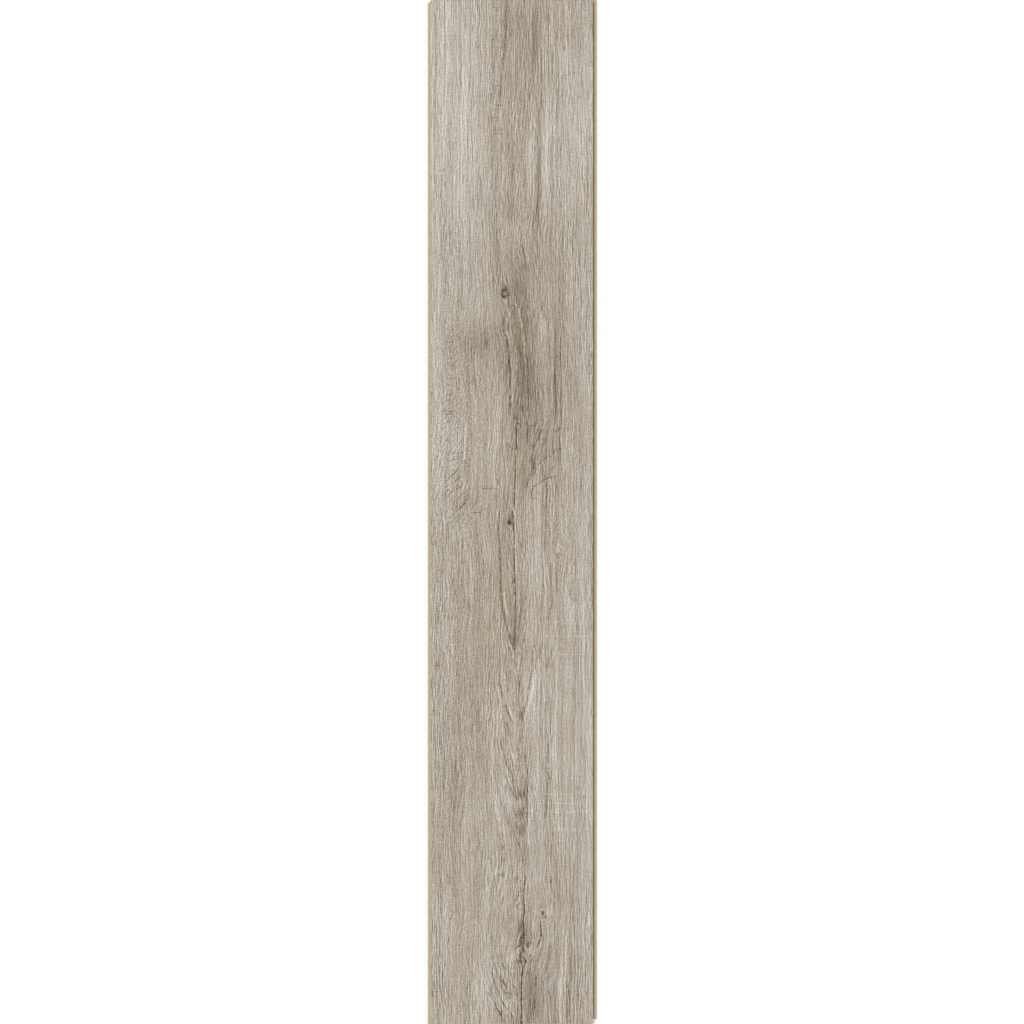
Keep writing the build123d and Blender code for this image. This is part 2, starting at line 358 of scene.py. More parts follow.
# %% Trace the pale lines and the scratches
pale_lines = [
    (-16, 0.7, (32, 546), (33, 500)), (-16, 0.7, (49.5, 497), (49.5, 438)),
    (-16, 0.8, (-80, 546), (-84, 530)),
    (-22, 1.2, (-16, -203), (-14, -222), (-12.5, -240), (-10, -257), (-7, -268)),
    (-14, 1.1, (30, -188), (25, -206), (20.5, -224), (17, -240), (14, -249)),
    (-22, 0.9, (20.6, -322), (20.2, -345), (19.6, -368), (20, -394)),
    (-18, 0.8, (-5, -278), (1, -284), (3, -298)),
    (-14, 1.1, (-24, -296), (-21.5, -320), (-19, -340), (-15, -358), (-12, -376)),
    (-16, 0.8, (-8, -300), (-4, -314), (0, -326)), (-14, 0.7, (54, 422), (54, 398)),
    (-18, 0.7, (84.5, 426), (84.5, 402)), (-14, 0.8, (-66, 396), (-70, 377)),
    (-22, 1.0, (-49, 177), (-47.6, 168)), (-18, 0.8, (-39.5, 170), (-37, 159)),
    (-26, 0.8, (-6.8, 213), (-4, 201)), (-22, 0.7, (43, 405), (50, 402), (56, 397)),
    (-18, 0.9, (1, 150), (0, 125)), (-24, 0.9, (4, 196), (6, 180), (6, 165)),
    (-34, 1.1, (3, 246), (7, 240), (10, 226), (13, 207), (15, 190), (16, 172)),
    (-34, 0.9, (2.5, 242), (-1, 236), (-3, 229), (-4, 220)), (-22, 0.7, (-55, 100), (-55, 60)),
    (-18, 0.6, (-60, 98), (-60, 66)), (-16, 0.6, (-48, 92), (-48, 55)),
    (-20, 0.5, (57, 71.5), (76, 71.5)), (-14, 0.5, (60, 69), (74, 69)),
    (-26, 0.9, (-9, -92), (-8.5, -103), (-7, -112), (-4, -123)),
    (-30, 0.9, (-3, -151), (-1, -158), (1, -164), (2, -174)), (-28, 0.8, (8.5, -157), (9, -165)),
    (-20, 0.9, (14, -62), (13.5, -85), (11, -105), (8, -120)),
    (-16, 0.8, (-5, -224), (-1, -235), (2.5, -244)),
    (-22, 1.0, (-10, -308), (-8, -322), (-4, -335), (0, -347)), (-20, 0.8, (24, -343), (24, -357)),
    (-16, 0.8, (54, -343), (55, -377)), (-14, 0.8, (-81, -333), (-81, -352)),
    (-12, 0.6, (64, -272), (64, -322)), (-12, 0.6, (88, -238), (88, -272)),
    (-22, 0.8, (-27, -436), (-27, -446)), (-20, 0.7, (-34, -441), (-33, -449)),
    (-20, 0.8, (-25, -524), (-21, -537), (-15, -545)), (-22, 0.8, (-17, -540), (-11, -547)),
    (-22, 0.9, (-28, -565), (-23, -574), (-20, -582)), (-24, 0.8, (13, -354), (18, -356)),
    (-18, 0.7, (52, 206), (53, 188)), (-16, 0.7, (47, 150), (46, 118)),
    (-16, 0.6, (39, -95), (39, -125)), (-18, 0.9, (6, -188), (12, -190)),
    (-16, 0.8, (-12, 130), (-11, 100)), (-24, 0.8, (17, 305), (21, 294)),
    (-20, 0.7, (8, 302), (12, 297)),
]
scratches = [
    (30, 0.6, (-76, 58), (-70, 61), (-64, 62)), (26, 0.5, (-66, 36), (-62, 40), (-57, 43)),
    (26, 0.5, (-62, 3), (-57, 8), (-52, 12)), (24, 0.5, (-56, 2), (-50, 7), (-46, 12)),
    (24, 0.5, (-72, 8), (-66, 13), (-60, 19)), (22, 0.5, (-70, 33), (-64, 38)),
    (22, 0.5, (-48, 3), (-43, 9), (-39, 14)), (22, 0.5, (-74, -8), (-68, -3), (-64, 2)),
    (24, 0.5, (-78, 64), (-73, 67), (-68, 69), (-60, 69), (-56, 69)), (20, 0.5, (-79, 103), (-70, 107)),
    (22, 0.5, (-78, 81), (-75, 86)), (20, 0.5, (-79, 70), (-74, 70), (-68, 74)),
    (32, 0.5, (-79, 33), (-75, 38), (-70, 43), (-65, 47), (-63, 52)), (16, 0.5, (-79, 42), (-72, 45)),
    (24, 0.5, (-78, 28), (-71, 35)), (32, 0.5, (-79, 20.5), (-73, 27)), (16, 0.5, (-79, 15), (-68, 25)),
    (34, 0.6, (-67, 25), (-61, 29), (-58, 31), (-58, 36)), (32, 0.5, (-60, 20), (-54, 23), (-48, 27.5)),
    (28, 0.5, (-59, 15), (-53, 19), (-48, 24)), (24, 0.5, (-58, 11), (-51, 17)),
    (32, 0.5, (-67, -1), (-63, 2), (-58, 7), (-54, 13), (-49, 17)), (16, 0.5, (-80, -5), (-74, 2)),
    (18, 0.5, (-65, -7), (-60, -2)), (24, 0.5, (-59, -5), (-55, 0)), (18, 0.5, (-68, -15), (-62, -9)),
    (22, 0.5, (-55, -16), (-50, -10), (-45, -5)), (16, 0.5, (-64, 58), (-52, 57)),
    (16, 0.5, (-54, 53), (-48, 54)), (26, 0.5, (-50, -1), (-42, -1), (-36, 0), (-32, 4), (-29, 6)),
    (22, 0.5, (-74, -17), (-72, -22)), (14, 0.7, (-40, 29), (-28, 27), (-16, 27)),
    (12, 0.7, (-41, 18), (-33, 18)), (18, 0.5, (-70, -22), (-67, -19)),
    (14, 0.5, (-88, 306), (-78, 298)), (14, 0.5, (-70, 303), (-60, 298), (-52, 293)),
    (12, 0.5, (-66, 311), (-56, 303)), (14, 0.5, (-67, 243), (-62, 248)),
    (14, 0.5, (-22, 477), (-8, 477)), (12, 0.5, (-20, 481), (-8, 481)), (16, 0.6, (38, 82), (34, 74)),
    (14, 0.5, (-44, -24), (-36, -30)),
]

# %% [markdown]
# Some marks come in rows: the rungs of the silver rays, the pointed arches down the heart, the
# pale rays at the right edge, and the rings that fan out from the lowest knot. Loops make
# these, so that a few numbers stand for a whole row of marks.

# %% Add the marks that come in rows
# Silver rays as ladders of short bowed rungs: left and right end, levels, and the y of each rung
ladders = [
    (-79, -67, 20, [200, 190, 181, 171, 157, 147, 138, 129, 119, 113]),
    (-24, -11, 15, [592, 586, 577, 552, 545, 497, 491, 484, 477, 470, 463, 456, 449, 442]),
]
for ladder_left, ladder_right, levels, rungs in ladders:
    for rung, rung_y in enumerate(rungs):
        bow = 2.0 if rung % 2 else -1.5
        left, right = ladder_left + rung % 3, ladder_right + 1 - rung % 4
        middle = (left + right) / 2
        scratches.append((levels, 0.6, (left, rung_y), (middle, rung_y + bow), (right, rung_y)))
# Pointed arches in a row down the heart: the y of each point, and how dark it is
arch_points = [
    (-208, 14), (-229, 18), (-262, 14), (-284, 18), (-300, 14), (-318, 20), (-337, 24), (-356, 22),
    (-381, 18),
]
arch_arm = [(12, 62), (8.5, 36), (4, 12), (0.4, 0)]  # how far out and up from its point it runs
for point_y, levels in arch_points:
    point_x = 12 if point_y < -330 else 4
    for slope in (-1.15, 0.85):
        arm = [(point_x + slope * out, point_y + up) for out, up in arch_arm]
        veins.append((levels, 0.7, *arm))
# Silver rays show as faint pale lines across the grain at the right edge
silver_lines = [-130, -146, -167, -313, -331, -342, -352, -373]
for ray, ray_y in enumerate(silver_lines):
    ray_start = 30 + ray * 5 % 17
    pale_lines.append((-11, 0.6, (ray_start, ray_y), (92, ray_y + 0.6)))
# The growth rings fan out from the lowest knot to the left, side by side
ring_shape = [(-27, -524), (-22, -545), (-14, -563), (-6, -577), (0, -588), (3, -604)]
first_ring, ring_gap = -14, 4.6
for ring in range(6):
    shift = first_ring + ring_gap * ring
    veins.append((16, 0.6, *[(shift + out, ring_y) for out, ring_y in ring_shape]))
crack_boost = 1.5  # the cracks are nearly black
cracks = [(crack_boost * levels, *rest) for levels, *rest in cracks]
scratch_boost = 1.8  # the scratches have to show against the pebbled grain there
scratches = [(scratch_boost * levels, *rest) for levels, *rest in scratches]
strokes = cracks + knot_lines + veins + pale_lines + scratches
print("strokes:", len(strokes))

# %% [markdown]
# A point can only measure to one stroke of a layer. So each stroke goes on the first layer
# that is still free where it runs, as transparent sheets are shared out for a drawing.

# %% Measure the distance to every stroke


def smooth_path(points, pieces=4):
    """The points joined by a smooth curve, as short straight runs."""
    points = np.array([points[0], *points, points[-1]], float)
    t = np.linspace(0, 1, pieces, endpoint=False)[:, None]
    runs = []
    for before, start, end, after in zip(points, points[1:], points[2:], points[3:]):
        bend = t * (end - before) + t**2 * (2 * before - 5 * start + 4 * end - after)
        runs.append(start + 0.5 * (bend + t**3 * (3 * start - before - 3 * end + after)))
    return np.vstack([*runs, points[-1:]])


# Beside a stroke, its distance is stored this many half widths and this many mm out
reach_share, reach_margin = 2.8, 1.3
end_fade = 4.0  # mm over which a long stroke fades out at either end
level_weight = 0.4  # how much a stroke's run across counts when its lit side is picked


def measure_stroke(half_width, points):
    """The block of grid points near a stroke, their signed distance from it, and a fade at its ends."""
    path = smooth_path(points)
    near_it = reach_share * half_width + reach_margin
    low, high = path.min(axis=0) - near_it, path.max(axis=0) + near_it
    block = np.ix_((rows >= low[1]) & (rows <= high[1]), (columns >= low[0]) & (columns <= high[0]))
    place = np.stack([x[block], y[block]], axis=-1)[..., None, :]
    start, run = path[:-1], np.diff(path, axis=0)
    length = np.hypot(*run.T)
    along = np.clip(((place - start) * run).sum(-1) / length**2, 0, 1)
    away = place - start - along[..., None] * run
    distance = np.hypot(away[..., 0], away[..., 1])
    nearest = distance.argmin(axis=-1)[..., None]
    # The lit side of a furrow is its right or lower side; the material paints a highlight there
    lit_side = np.where(run[:, 1] + run[:, 0] * level_weight > 0, 1, -1)
    turned = (run[:, 1] * away[..., 0] - run[:, 0] * away[..., 1]) * lit_side
    sign = np.where(turned >= 0, 1, -1)
    passed = np.cumsum(length) - length + along * length
    to_an_end = np.minimum(passed, length.sum() - passed)
    fade = np.clip(to_an_end / min(end_fade, length.sum() / 3), 0, 1)

    def pick(values):
        return np.take_along_axis(values, nearest, axis=-1)[..., 0]

    return block, pick(distance) * pick(sign), pick(fade), near_it


line_layers = []
far_off = 9.0  # half widths, for the points that no stroke is near
for levels, half_width, *points in strokes:
    block, distance, fade, near_it = measure_stroke(half_width, points)
    window = np.clip(near_it - abs(distance), 0, 1)
    for layer in line_layers:
        if not (layer["taken"][block] * (window > 0)).any():
            break
    else:
        layer = {name: np.zeros_like(x) for name in ("distance", "levels", "taken")}
        layer["distance"] += far_off
        line_layers.append(layer)
    inside = window > 0
    layer["distance"][block] = np.where(inside, distance / half_width, layer["distance"][block])
    layer["levels"][block] = np.where(inside, levels * fade * window, layer["levels"][block])
    layer["taken"][block] += inside
print("layers of lines:", len(line_layers))

# %% [markdown]
# Knots and resin blots are small dark spots, some with a pale middle. They are soft ovals,
# added up, with a trembling outline. The numbers are levels of grey again.

# %% Place the knots and blots
# An oval: x, y, half width, half length, levels added
knot_marks = [
    (-8.5, 255.5, 4.6, 5.2, -58), (-11.2, 255.5, 1.5, 2.6, -44), (-11.3, 252.5, 1.4, 1.4, -30),
    (-9, 259.4, 2.6, 1.2, -26), (-8.0, 256.2, 1.5, 1.6, 96), (-5.6, 259, 1.2, 1.2, 36),
    (-8, 251, 2.2, 1.3, -36), (-4.6, 253.6, 1.2, 1.8, -40), (-4.6, 248, 0.9, 2.4, -24),
    (-7, 263, 4.5, 3.0, -14), (-2.5, 258, 1.8, 4.0, -12), (-11, 267, 1.6, 4.0, -22),
    (6, 259, 5.0, 12, -12), (4.5, 268, 2.0, 4.5, -8), (3, 241, 1.2, 2.2, -20),
    (-1.8, -12.3, 2.1, 2.2, -92), (-4.5, -12.5, 2.2, 1.6, -34), (-8.5, -14, 1.2, 2.2, -26),
    (2.2, -15, 0.9, 2.4, -44), (36.4, -470.3, 2.1, 2.7, -92), (39.6, -474.6, 2.0, 1.6, -20),
    (36.3, -470, 4.6, 5.5, 10), (42, -468, 3.0, 5.0, 10), (10.6, -498.6, 1.1, 1.2, -96),
    (12, -491, 5.0, 13, -20), (14.6, -497, 1.7, 4.0, -50), (14, -504, 1.6, 2.4, -34),
    (10.5, -502.5, 1.3, 2.2, -34), (11.5, -505.5, 3.6, 2.6, -26), (18.2, -508, 2.4, 2.2, -46),
    (20.6, -504.6, 2.4, 1.6, -36), (17.6, -505, 1.2, 1.2, -20), (13.7, -511.4, 1.3, 1.1, -74),
    (12.6, -513.8, 1.1, 1.1, -50), (14, -516.4, 1.2, 1.2, -52), (15.8, -513.6, 1.1, 1.6, -40),
    (7.6, -513.4, 1.5, 1.2, 30), (10.6, -512.2, 1.0, 0.9, 26), (8.2, -516.6, 1.3, 0.9, 24),
    (12.2, -519, 1.3, 1.0, 20), (-10, -498, 2.4, 6.0, 6), (2, -519, 3.4, 5.0, 10),
    (9.4, -517.4, 1.0, 1.2, -74), (10.5, -521.5, 1.1, 1.5, -56), (13.9, -521.5, 0.9, 1.4, -48),
    (12, -518, 3.2, 7.0, -14), (10.5, -526.5, 3.4, 2.2, -28), (16.4, -526.5, 1.6, 2.2, -36),
    (23.3, -526, 1.6, 1.6, -34), (7, -513, 1.5, 2.0, 22), (-3.5, -526, 3.0, 5.0, 16),
    (21, -515, 3.4, 3.0, 14), (5, -534, 3.4, 2.4, -12), (20, -540, 2.4, 5.0, -12),
    (8, -459, 1.5, 2.2, -30), (7.4, -465, 1.0, 1.4, -26), (9.2, -462.5, 1.0, 1.4, 22),
    (3, -470, 3.0, 6.0, 6), (22, -470, 1.8, 12, -12), (22.5, -495, 1.8, 14, -16),
    (25.5, -490, 1.6, 16, 10), (-20, -528, 1.6, 9.0, 8), (18, 122, 1.7, 2.2, -52),
    (12, 121, 1.2, 2.2, -34), (5, 111, 1.8, 2.0, -40), (-78, 121, 1.0, 1.4, -78),
    (25, 55, 2.4, 7.0, -32), (24.5, 60, 1.4, 3.0, -16), (15, 40, 4.5, 16, -10), (49, 95, 3.0, 2.4, -12),
    (3, -149, 4.2, 8.0, -26), (-10.6, -393, 1.1, 1.9, -44), (-9, -408, 3.2, 3.4, -26),
    (-12, -425.5, 4.4, 2.2, -32), (-17, -423, 4.6, 4.2, 16), (10, -238, 4.4, 6.0, -20),
    (12, -331, 5.5, 6.0, -20), (10, -354, 4.6, 6.5, -26), (12, -372, 4.8, 7.5, -24),
    (15, -400, 4.5, 16, -16), (45.5, -434, 0.9, 1.2, -50), (-13.4, -587.5, 1.5, 2.6, -36),
    (1, -82, 1.2, 2.4, -26), (20, -566, 7.5, 36, -6), (62.5, 545, 1.4, 3.0, -16),
    (-29.5, 197, 3.0, 7.0, -12), (14, 288, 6.0, 6.0, -10), (-58, 278, 9.0, 5.0, -8),
    (56, 97, 1.6, 2.6, -16), (69, 98, 10, 2.6, -6), (36, 215, 3.2, 14, 10), (56, -45, 4.0, 5.0, 7),
    (-52, -110, 4.0, 7.0, -12), (-48, 153, 10, 4.0, -7),
]

# %% [markdown]
# The light and dark parts of the board are much larger and fainter ovals, with a few broad,
# soft veins. Real oak darkens towards its heart. The numbers were given and then corrected
# many times, wherever the mean tone of a zone of 19 by 47 mm still differed from the
# photograph's. Many ovals therefore lie in the middle of such a zone.

# %% Shade the board
shades = [
    (-74, 500, 36, 130, 27), (-92, 250, 12, 200, 8), (12, 560, 26, 70, -18), (90, 200, 10, 420, 6),
    (88, -300, 14, 240, 9), (3, 262, 17, 34, -26), (11, 200, 16, 54, -30), (16, 140, 17, 50, -28),
    (30, 130, 24, 50, -10), (4, 95, 16, 36, -14), (54, 165, 8, 120, -20), (-46, 198, 26, 15, -16),
    (-24, 190, 20, 44, -14), (36, 68, 22, 30, -12), (-12, -50, 11, 60, -18), (6, -115, 10, 46, -16),
    (-20, 8, 12, 40, -8), (-48, -90, 24, 70, -14), (-42, -220, 20, 90, -10), (-70, -320, 16, 80, -9),
    (9, -360, 10, 30, -12), (12, -500, 10, 44, -16), (24, -572, 17, 44, -26), (62, -590, 20, 34, -9),
    (34, -230, 16, 90, 6), (-20, -300, 14, 90, 4), (-16, -430, 18, 50, 8), (66, -250, 24, 150, 4),
    (60, 430, 34, 90, 5), (28, 420, 12, 40, 4), (-24, 400, 16, 80, -6), (2, 385, 8, 80, -12),
    (31, 375, 5, 60, -14), (26, 540, 6, 60, -9), (10, 330, 40, 40, -6), (30, -150, 30, 40, -8),
    (-20, -280, 34, 40, -6), (13, 20, 12, 60, -8), (46, 90, 14, 40, -9), (-60, 30, 34, 60, -3),
    (46, -405, 12, 34, -8), (18, 225, 10, 24, -8), (5, 290, 30, 26, -9), (-85, 290, 10, 26, -8),
    (-74, 240, 16, 40, -6), (38, 262, 14, 34, -6), (-9.5, 178, 9, 44, -12), (-64, 170, 14, 40, -7),
    (-32, 200, 14, 24, -6), (66, 80, 10, 44, -6), (38, 40, 16, 50, -5), (-9.5, 12, 8, 18, -7),
    (-66, -80, 10, 30, -6), (-28, -80, 8, 24, -6), (-85, -130, 8, 24, -5), (20, -175, 30, 22, -6),
    (47, -225, 9, 34, -10), (10, -262, 8, 30, -8), (85, -375, 9, 44, 10), (28, -405, 7, 22, 6),
    (47, -390, 8, 36, -5), (-28, -275, 8, 24, 5), (-28, -545, 10, 24, 7), (-85, -560, 10, 30, -6),
    (85, -560, 8, 24, 5), (0, 575, 16, 24, -6), (-50, 440, 22, 50, 7), (-66, 372, 10, 20, 8),
    (9.5, 390, 7, 24, 7), (47, 480, 10, 26, -6), (-82, 395, 8, 20, 5), (-60, 340, 30, 24, 8),
    (0, 390, 90, 26, 5), (30, 295, 14, 24, -7), (-70, 155, 40, 30, -4), (-9.5, 160, 8, 40, -6),
    (28, 110, 7, 24, -7), (57, 14, 14, 26, -6), (57, -33, 34, 26, -4), (47, -240, 8, 44, -7),
    (-28, -240, 8, 44, 5), (-47, -215, 8, 24, -5), (85, -268, 8, 24, -5), (-47, -313, 8, 24, -5),
    (9.5, -313, 6, 20, -6), (28, -313, 7, 24, 5), (-66, -360, 8, 24, -6), (66, -360, 8, 24, 7),
    (15, -407, 14, 24, 6), (-47, -407, 10, 24, 5), (-66, -454, 9, 24, -5), (-28, -454, 9, 24, 5),
    (-26, -548, 18, 30, 9), (-32, -592, 14, 20, 8), (-28, 575, 10, 24, 6), (-28, 435, 8, 24, 6),
    (-4, 482, 16, 24, -4), (14, -492, 3.4, 16, -16),
]
wide_veins = [
    (13, 4.5, (2, 242), (3, 225), (5, 205), (7, 190)),
    (9, 1.4, (8, 230), (10, 213), (11, 195), (12, 180)),
    (12, 4.5, (7, 196), (10, 184), (13, 168), (15, 150), (15, 130)),
    (-8, 1.2, (1, 202), (3, 186), (5, 170)),
    (12, 2.4, (2, 436), (2, 410), (2, 385), (-1, 360), (-1, 340)),
    (14, 2.0, (33, 430), (32, 400), (31, 380), (30, 360), (28, 340), (26, 325)),
    (14, 1.6, (16, 402), (16, 380), (17, 358)), (12, 2.2, (27, 592), (26, 560), (25, 512)),
    (14, 2.4, (-5, 600), (-7, 575), (-9, 550), (-10, 530), (-12, 505), (-13, 480)),
    (14, 2.0, (45, -58), (46, -80), (47, -92), (46, -106), (45, -120), (43, -150), (43, -185)),
    (12, 2.6, (-40, -222), (-41, -240), (-40, -258)),
    (20, 2.4, (46, -503), (44, -520), (42, -535), (40, -552)),
    (-12, 2.2, (28, -190), (26, -205), (22, -222)), (-12, 1.8, (33, -172), (33, -195), (31, -210)),
    (-14, 2.2, (-17, -328), (-18, -345), (-16, -360), (-12, -378)),
    (18, 2.2, (27, 60), (24, 48), (19, 38), (16, 26)), (10, 3.0, (50, 165), (51, 140), (52, 110)),
    (12, 2.0, (-14, -60), (-13, -100), (-8, -130)), (10, 2.4, (-27, 470), (-26, 440), (-24, 400)),
    (-10, 2.6, (22, 440), (22, 400), (23, 370)), (12, 2.6, (19, 190), (22, 160), (25, 130)),
    (10, 3.0, (-84, 400), (-83, 350)), (-10, 3.0, (-20, -232), (-22, -270), (-22, -310)),
    (-10, 2.0, (-7, 150), (-8, 110)),
]


# %% [markdown]
# An oval fades out softly from its middle, and all the ovals of a list are added up into one
# number for each point. Shaking the points a little first gives the knots ragged outlines.

# %% Add up the ovals


def tremble(size, seed):
    """A small irregular shift of every point, which gives a knot its ragged outline."""
    random = np.random.default_rng(seed)
    shift = np.zeros_like(x)
    for _ in range(10):
        turn, phase = random.uniform(0, 2 * np.pi, 2)
        wave = random.uniform(3, 7)
        shift += np.sin(2 * np.pi * (x * np.cos(turn) + y * np.sin(turn)) / wave + phase)
    return size * shift / np.sqrt(10)


def ovals(marks, edge, shaken=0.0):
    """All the ovals added up; a larger edge number gives them a sharper rim."""
    at_x, at_y = x + tremble(shaken, 21), y + tremble(1.3 * shaken, 22)
    summed = np.zeros_like(x)
    for mark_x, mark_y, half_width, half_length, levels in marks:
        apart = ((at_x - mark_x) / half_width) ** 2 + ((at_y - mark_y) / half_length) ** 2
        summed += levels * np.exp(-(apart**edge))
    return summed


spot_gain, vein_gain = 1.5, 1.5
sharp_edge, soft_edge, mask_edge = 1.3, 1.0, 1.5
spots = spot_gain * ovals(knot_marks, sharp_edge, shaken=0.7)
shade = ovals(shades, soft_edge)
for levels, half_width, *points in wide_veins:
    block, distance, fade, _ = measure_stroke(half_width, points)
    shade[block] -= vein_gain * levels * fade * np.exp(-((distance / half_width) ** 2))
warm_parts = [
    (6, 190, 18, 90, 1.0), (5, 60, 12, 50, 0.9), (-4, -110, 18, 60, 1.0), (-28, -140, 8, 50, 0.8),
    (-20, -260, 12, 50, 0.5), (20, -560, 9, 50, 0.7), (10, 540, 20, 90, 0.4), (72, 120, 10, 10, 0.5),
]
cool_parts = [
    (-92, 0, 5, 900, -0.3), (92, 0, 5, 900, -0.3), (45, -540, 10, 40, -0.5), (50, 390, 12, 60, -0.4),
]
warmth = ovals(warm_parts + cool_parts, soft_edge)
print("shading from", round(float(shade.min())), "to", round(float(shade.max())), "levels")

# %% [markdown]
# Some textures only show in parts of the board: long pinstripes, fine slants across the
# grain, silver rays, which shimmer as faint level bands, and short pebbled fibres. A mask for
# each says where it shows and how strongly.

# %% Mark where each texture shows
stripe_parts = [
    (40, 500, 22, 130, 0.7), (70, -330, 26, 220, 0.4), (70, -560, 26, 90, 0.9), (52, 160, 12, 110, 1.0),
    (-60, 480, 40, 180, 0.5), (-55, 80, 12, 50, 0.8), (-15, 70, 16, 60, 0.7), (40, -40, 14, 70, 0.8),
    (30, -200, 16, 120, 0.2), (20, 400, 30, 60, 0.6),
]
slant_parts = [
    (-68, 20, 20, 55, 1.0), (33, 60, 16, 36, 0.8), (-70, 290, 26, 24, 0.6), (-55, -35, 30, 30, 0.5),
    (70, -10, 22, 60, 0.4),
]
ray_parts = [
    (68, -150, 22, 60, 0.8), (66, -340, 22, 60, 0.8), (68, 72, 10, 12, 0.8), (-34, 22, 14, 14, 0.8),
    (-66, 130, 12, 90, 0.5), (0, 300, 14, 14, 0.3), (-14, 480, 8, 44, 0.9),
]
short_parts = [
    (-70, 120, 30, 150, 1.0), (-38, 130, 14, 150, 0.8), (60, -60, 14, 110, 0.9),
    (62, -240, 12, 100, 0.8), (-60, -250, 26, 190, 0.5), (-85, 460, 10, 40, 0.7),
    (-60, -490, 16, 60, 0.6), (-62, 420, 24, 120, 0.45), (37, -40, 12, 60, 0.4), (0, 295, 20, 22, 0.6),
]
# Where the fine grain stands out more, or less, than on the rest of the board
lively_parts = [
    (-82, -40, 36, 360, 0.3), (-55, -80, 16, 300, 0.08), (86, -290, 24, 200, -0.28),
    (46, -200, 24, 100, -0.24), (46, 420, 22, 150, -0.14), (-28, -250, 16, 160, 0.14),
]
all_parts = (stripe_parts, slant_parts, ray_parts, short_parts, lively_parts)
stripes, slants, rays, shorts, lively = (ovals(parts, mask_edge) for parts in all_parts)

# %% [markdown]
# The board itself is the CAD mesh. Its flat decor face is taken off and the grid is sewn in,
# with cracks and knots pressed down into it by less than a fifth of a millimetre. Nothing stands
# above the face, and the rim stays flat, so the board keeps its size and its neighbours still
# fit. The alternative, a displacement modifier, would have moved the edges too.

# %% Press the print's relief
press_depth = 0.16  # mm, how deep the steel plate presses the deepest mark
full_depth_levels = 80.0  # a mark as dark as this gets the full depth
rim = np.minimum(face_width / 2 - abs(x), face_length / 2 - abs(y))
flat_rim, rim_blend = 1.5, 3.0  # mm: the rim that stays flat, and the way to full relief
inside_rim = np.clip((rim - flat_rim) / rim_blend, 0, 1)
pressed = np.clip(-spots / full_depth_levels, 0, 1)
for layer in line_layers:
    line_depth = np.clip(layer["levels"] / full_depth_levels, 0, 1)
    pressed = np.maximum(pressed, line_depth * np.exp(-(layer["distance"] ** 2)))
straight_rate, arch_rate = 2.1, 1.9  # radians of wave for each mm across the grain
straight_waves = np.sin(straight_rate * across + 2 * np.sin(across / 7 + y / 170))
arch_waves = np.sin(arch_rate * arch_across + 2 * side)
waves = (1 - arch_share) * straight_waves + arch_share * arch_waves
wave_share = 0.12  # how deep the waves of the fibres are, against the deepest mark
relief = -press_depth * inside_rim * (pressed + wave_share * (1 + waves) / 2)
print("deepest mark, mm:", round(float(relief.min()), 3))

# %% [markdown]
# Now the face is swapped. The narrow side faces that touch it are rebuilt too, with the border
# points of the grid in them, because otherwise hairline gaps would open along the rim.

# %% Sew the grid into the board
mm = 0.001
tiny = 1e-5
level_enough = 0.9  # a face whose normal points up or down at least this much counts as level
face_height = max(vertex.co.z for vertex in cad_board.data.vertices)


def build_board():
    """The CAD board with its decor face replaced by the grid."""
    board = bmesh.new()
    board.from_mesh(cad_board.data)
    bmesh.ops.remove_doubles(board, verts=board.verts, dist=tiny / 10)
    bmesh.ops.dissolve_limit(board, angle_limit=radians(0.5), verts=board.verts, edges=board.edges)
    upward = [face for face in board.faces if face.normal.z > level_enough]
    top = max(upward, key=lambda face: face.calc_center_median().z)
    corners = {(v.co.x > 0, v.co.y > 0): v for v in top.verts}
    lands = {side_face for edge in top.edges for side_face in edge.link_faces if side_face is not top}
    last_row, last_column = len(rows) - 1, len(columns) - 1
    grid = []
    for j in range(last_row + 1):
        line = []
        for i in range(last_column + 1):
            if i in (0, last_column) and j in (0, last_row):
                line.append(corners[(i > 0, j > 0)])
                continue
            place = (columns[i] * mm, rows[j] * mm, face_height + relief[j, i] * mm)
            line.append(board.verts.new(place))
        grid.append(line)
    left_line, right_line = [line[0] for line in grid], [line[last_column] for line in grid]
    borders = [grid[0], grid[last_row], left_line, right_line]
    for land in lands:
        loop = list(land.verts)
        for border in borders:
            for k, vertex in enumerate(loop):
                ahead = loop[(k + 1) % len(loop)]
                if {vertex, ahead} == {border[0], border[-1]}:
                    between = border[1:-1] if vertex is border[0] else border[-2:0:-1]
                    loop[k + 1:k + 1] = between
                    break
        board.faces.new(loop)
    bmesh.ops.delete(board, geom=[top] + list(lands), context="FACES")
    for j in range(last_row):
        for i in range(last_column):
            cell = board.faces.new((grid[j][i], grid[j][i + 1], grid[j + 1][i + 1], grid[j + 1][i]))
            cell.smooth = True
    bmesh.ops.recalc_face_normals(board, faces=board.faces)
    board.verts.index_update()
    order = np.array([[vertex.index for vertex in line] for line in grid])
    mesh = bpy.data.meshes.new("plank_board")
    board.to_mesh(mesh)
    board.free()
    return mesh, order


board_mesh, order = build_board()
plank_board = bpy.data.objects.new("plank_board", board_mesh)
bpy.context.scene.collection.objects.link(plank_board)
board_mesh.calc_loop_triangles()
print("triangles of the board:", len(board_mesh.loop_triangles))

# %% [markdown]
# Each point of the face now gets its numbers: its places in the grain, its marks and its
# shares. They are stored as attributes of the mesh, where a material can read them.

# %% Write the grain onto the points of the face


def write_numbers(name, *parts):
    """Stores up to three numbers at every point of the face."""
    filled = np.zeros((len(board_mesh.vertices), 3), np.float32)
    filled[order, :len(parts)] = np.stack(parts, axis=-1)
    board_mesh.attributes.new(name, "FLOAT_VECTOR", "POINT").data.foreach_set("vector", filled.ravel())


